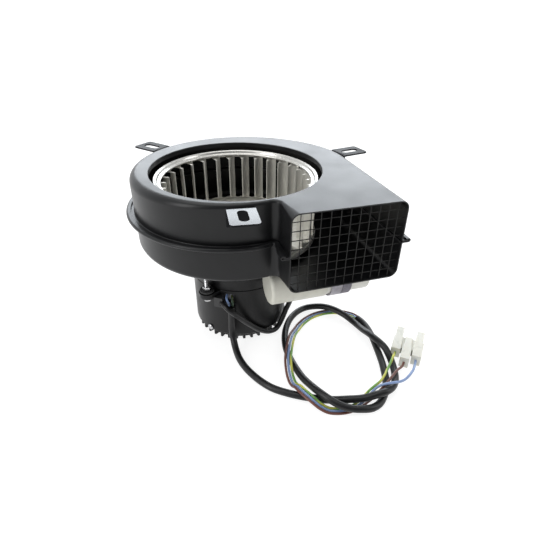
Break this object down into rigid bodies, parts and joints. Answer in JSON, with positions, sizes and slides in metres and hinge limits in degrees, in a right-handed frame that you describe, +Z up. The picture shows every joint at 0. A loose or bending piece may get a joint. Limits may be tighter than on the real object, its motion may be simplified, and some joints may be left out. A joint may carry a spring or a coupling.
{
  "type": "blower motor wheel",
  "caption": "Centrifugal blower with a squirrel-cage wheel in a sheet-metal scroll, hanging motor, capacitor and a coiled supply cable with a connector",
  "frame": {"origin": "centre of the motor's end face, on the ground", "axes": "+Z up along the fan axis towards the inlet, outlet faces -Y, scroll's long side towards +X"},
  "size_m": [0.2674, 0.2794, 0.1643],
  "materials": {
    "housing": "satin black paint",
    "mesh": "plated wire",
    "wheel": "aluminised sheet",
    "hub": "machined",
    "steel": "bright",
    "lamination": "stacked sheet",
    "winding": "enamelled wire",
    "black_plastic": "moulded",
    "cable_sheath": "smooth sheath",
    "rubber": "matte",
    "capacitor_case": "satin cream",
    "zinc": "zinc plated",
    "wire_brown": "smooth",
    "wire_blue": "smooth",
    "wire_green": "smooth",
    "nylon": "milky",
    "terminal": "stamped"
  },
  "bodies": {
    "root": {"scroll_upper_shell": "housing", "scroll_lower_shell": "housing", "outlet_grille": "mesh", "ear_front": "housing", "ear_left": "housing", "ear_right": "housing", "motor_upper_cover": "housing", "motor_lower_cover": "housing", "upper_bearing": "steel", "lower_bearing": "steel", "stator_core": "lamination", "upper_winding": "winding", "lower_winding": "winding", "rim_screw_1": "steel", "rim_screw_2": "steel", "rim_screw_3": "steel", "grommet_1": "rubber", "grommet_2": "rubber", "grommet_3": "rubber", "mount_bolt_1": "steel", "mount_bolt_2": "steel", "mount_bolt_3": "steel", "mount_nut_1": "steel", "mount_nut_2": "steel", "mount_nut_3": "steel", "cable_saddle": "black_plastic", "capacitor_can": "capacitor_case", "capacitor_boot": "capacitor_case", "capacitor_band": "zinc", "capacitor_pad": "rubber", "capacitor_bracket": "zinc", "bracket_screw_1": "steel", "bracket_screw_2": "steel", "capacitor_lead": "cable_sheath", "supply_cable": "cable_sheath", "motor_lead_blue": "wire_blue", "motor_lead_green": "wire_green", "wire_brown": "wire_brown", "wire_blue": "wire_blue", "wire_green_yellow": "wire_green", "connector_housing": "nylon", "terminal_1": "terminal", "terminal_2": "terminal", "terminal_3": "terminal"},
    "rotor": {"impeller_top_ring": "wheel", "impeller_blade_strip": "wheel", "impeller_backplate": "wheel", "impeller_hub": "hub", "hub_screw": "steel", "hub_rivet_1": "hub", "hub_rivet_2": "hub", "hub_rivet_3": "hub", "hub_rivet_4": "hub", "motor_shaft": "steel", "shaft_clip": "steel", "rotor_core": "lamination"}
  },
  "joints": [
    {"name": "rotor_spin", "type": "hinge", "parent": "root", "child": "rotor", "pos_m": [0, 0, 0], "axis": [0, 0, 1], "continuous": true}
  ]
}
